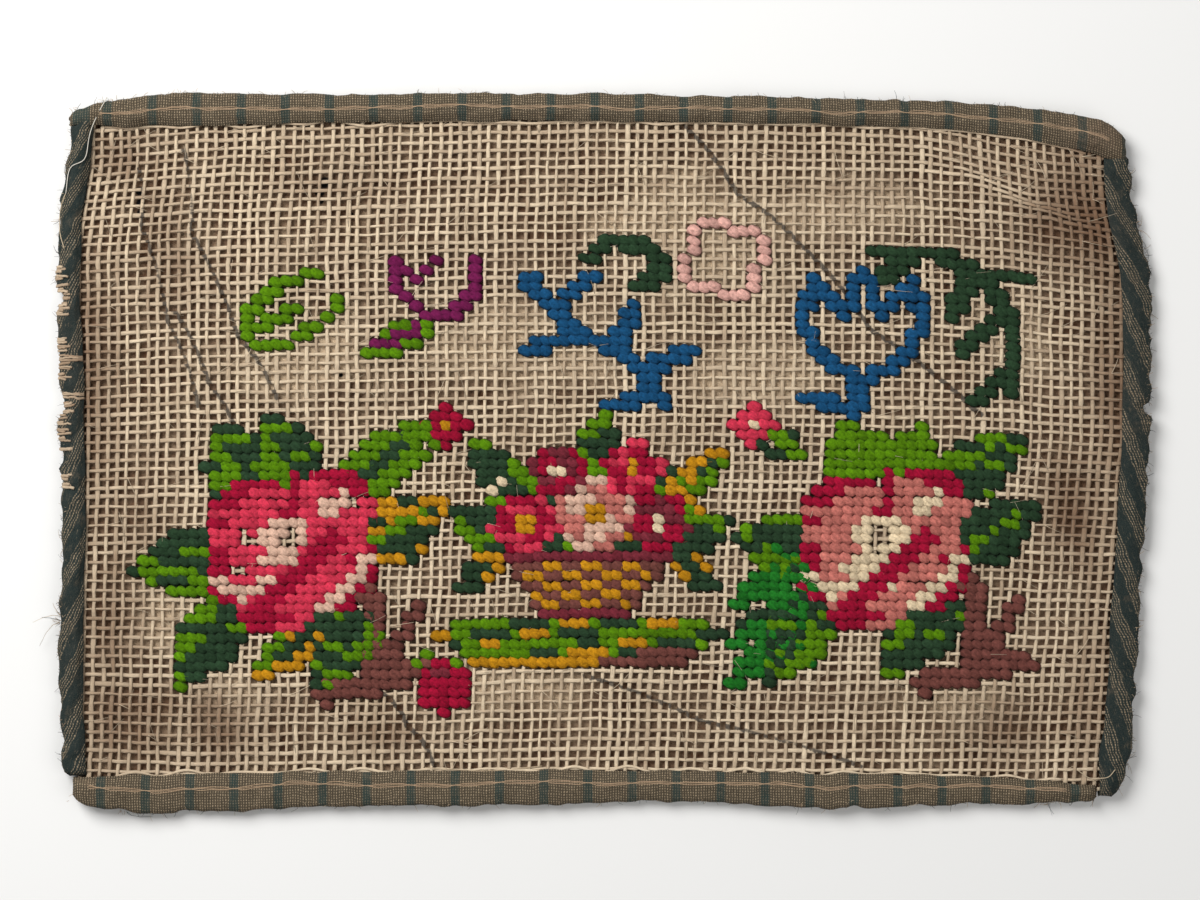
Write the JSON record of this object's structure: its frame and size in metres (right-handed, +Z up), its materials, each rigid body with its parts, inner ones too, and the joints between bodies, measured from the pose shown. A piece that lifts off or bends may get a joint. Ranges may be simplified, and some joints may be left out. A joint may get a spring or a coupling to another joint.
{
  "type": "needlework sampler",
  "caption": "Small unfinished wool-on-canvas needlework sampler, lined and bound, lying flat and face up, with worked flowers and loose outlines.",
  "frame": {"origin": "middle of the sampler's outline, on the surface that it lies on", "axes": "+X along the long side, to the right of the design; +Y up the design; +Z up from the surface"},
  "size_m": [0.2802, 0.1844, 0.007],
  "materials": {
    "canvas_linen": "open plain weave, matt, aged and stained",
    "lining_cloth": "fine plain weave, matt, browned",
    "binding_check": "fine speckled weave with blue-green bars, worn",
    "wool_yarn": "soft plied wool, dyed in several colours"
  },
  "bodies": {
    "root": {"canvas": "canvas_linen", "lining": "lining_cloth", "binding_top": "binding_check", "binding_right": "binding_check", "binding_bottom": "binding_check", "binding_left": "binding_check", "wool_flower_left": "wool_yarn", "wool_basket": "wool_yarn", "wool_flower_right": "wool_yarn"}
  },
  "joints": []
}
